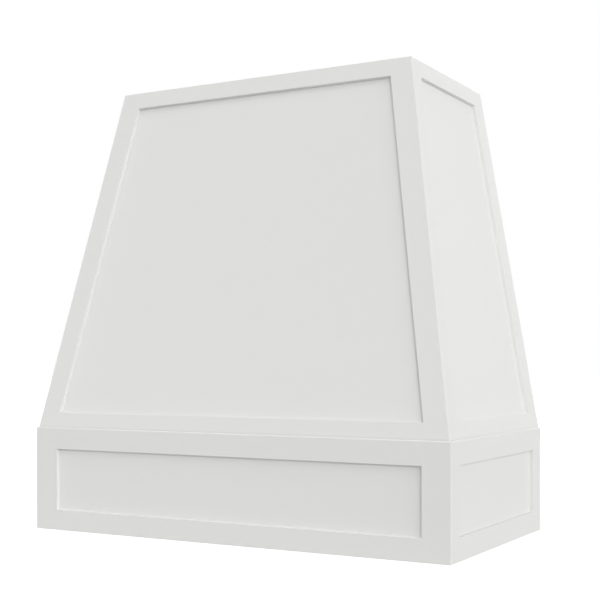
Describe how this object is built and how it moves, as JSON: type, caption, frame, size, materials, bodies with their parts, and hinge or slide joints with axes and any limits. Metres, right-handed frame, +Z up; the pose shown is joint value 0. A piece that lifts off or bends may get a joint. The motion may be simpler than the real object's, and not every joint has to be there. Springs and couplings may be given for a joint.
{
  "type": "wooden range hood cover",
  "caption": "White painted wooden range hood cover: a tapered frame-and-panel body on a straight framed apron, open at the back, bottom and top for an insert and duct.",
  "frame": {"origin": "middle of the footprint at the bottom rim: halfway across the apron, and halfway between its front face and the wall", "axes": "+Z up, +X to the right of someone facing the hood, -Y towards them, +Y into the wall that the open back stands against"},
  "size_m": [0.9144, 0.484, 0.904],
  "materials": {
    "painted_frame": "sprayed satin white paint on sanded hardwood, with no grain showing",
    "painted_panel": "sprayed satin white paint on smooth fibreboard",
    "pine": "planed softwood, unfinished",
    "plywood": "sanded birch-faced plywood, unfinished, with its plies on the edges",
    "zinc_steel": "bright zinc-plated steel"
  },
  "bodies": {
    "root": {"apron_front_left_stile": "painted_frame", "apron_front_right_stile": "painted_frame", "apron_front_bottom_rail": "painted_frame", "apron_front_top_rail": "painted_frame", "apron_front_panel": "painted_panel", "apron_left_front_stile": "painted_frame", "apron_left_wall_stile": "painted_frame", "apron_left_bottom_rail": "painted_frame", "apron_left_top_rail": "painted_frame", "apron_left_panel": "painted_panel", "apron_right_front_stile": "painted_frame", "apron_right_wall_stile": "painted_frame", "apron_right_bottom_rail": "painted_frame", "apron_right_top_rail": "painted_frame", "apron_right_panel": "painted_panel", "body_front_left_stile": "painted_frame", "body_front_right_stile": "painted_frame", "body_front_bottom_rail": "painted_frame", "body_front_top_rail": "painted_frame", "body_front_panel": "painted_panel", "body_left_front_stile": "painted_frame", "body_left_wall_stile": "painted_frame", "body_left_bottom_rail": "painted_frame", "body_left_top_rail": "painted_frame", "body_left_panel": "painted_panel", "body_right_front_stile": "painted_frame", "body_right_wall_stile": "painted_frame", "body_right_bottom_rail": "painted_frame", "body_right_top_rail": "painted_frame", "body_right_panel": "painted_panel", "insert_front_ledger": "pine", "insert_back_ledger": "pine", "insert_left_ledger": "pine", "insert_right_ledger": "pine", "apron_front_cleat": "pine", "apron_left_cleat": "pine", "apron_right_cleat": "pine", "apron_wall_rail": "plywood", "apron_left_corner_block": "pine", "apron_right_corner_block": "pine", "body_screw_front_left": "zinc_steel", "body_screw_front_right": "zinc_steel", "body_screw_left_front": "zinc_steel", "body_screw_left_back": "zinc_steel", "body_screw_right_front": "zinc_steel", "body_screw_right_back": "zinc_steel", "foot_front_cleat": "pine", "foot_left_cleat": "pine", "foot_right_cleat": "pine", "body_foot_rail": "plywood", "body_hanging_rail": "plywood", "body_left_post": "pine", "body_right_post": "pine", "body_left_hip_strip": "pine", "body_right_hip_strip": "pine", "top_front_strip": "plywood", "top_back_strip": "plywood", "top_left_strip": "plywood", "top_right_strip": "plywood"}
  },
  "joints": []
}
